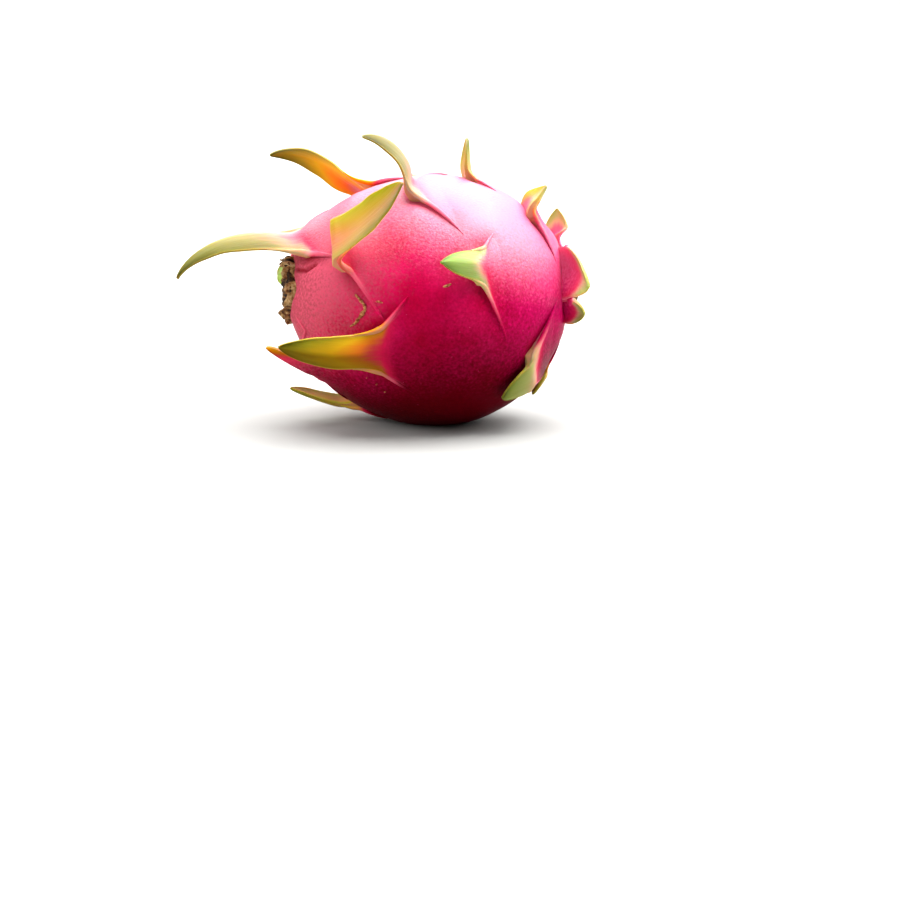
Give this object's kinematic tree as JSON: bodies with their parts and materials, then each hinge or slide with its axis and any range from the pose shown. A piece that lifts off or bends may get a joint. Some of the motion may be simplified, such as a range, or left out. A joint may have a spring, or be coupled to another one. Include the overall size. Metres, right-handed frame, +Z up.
{
  "type": "dragon fruit",
  "caption": "Whole ripe dragon fruit lying on its side: round pink peel with long curling green-tipped scales, a dried flower in the navel and a cut stem stub.",
  "frame": {"origin": "centre of the small flat spot on the underside that the fruit rests on", "axes": "+Z up from the surface the fruit lies on, +X along the fruit's axis from the navel to the cut stem"},
  "size_m": [0.1508, 0.1206, 0.1102],
  "materials": {
    "peel": "waxy leathery peel, crimson to bright pink, scales grading through yellow to green tips",
    "dried_flower": "dry brown papery crust, matte",
    "cut_stem": "dried pale callus on a cut green stem, matte"
  },
  "bodies": {
    "root": {"fruit": "peel", "dried_flower": "dried_flower", "cut_stem": "cut_stem"}
  },
  "joints": []
}
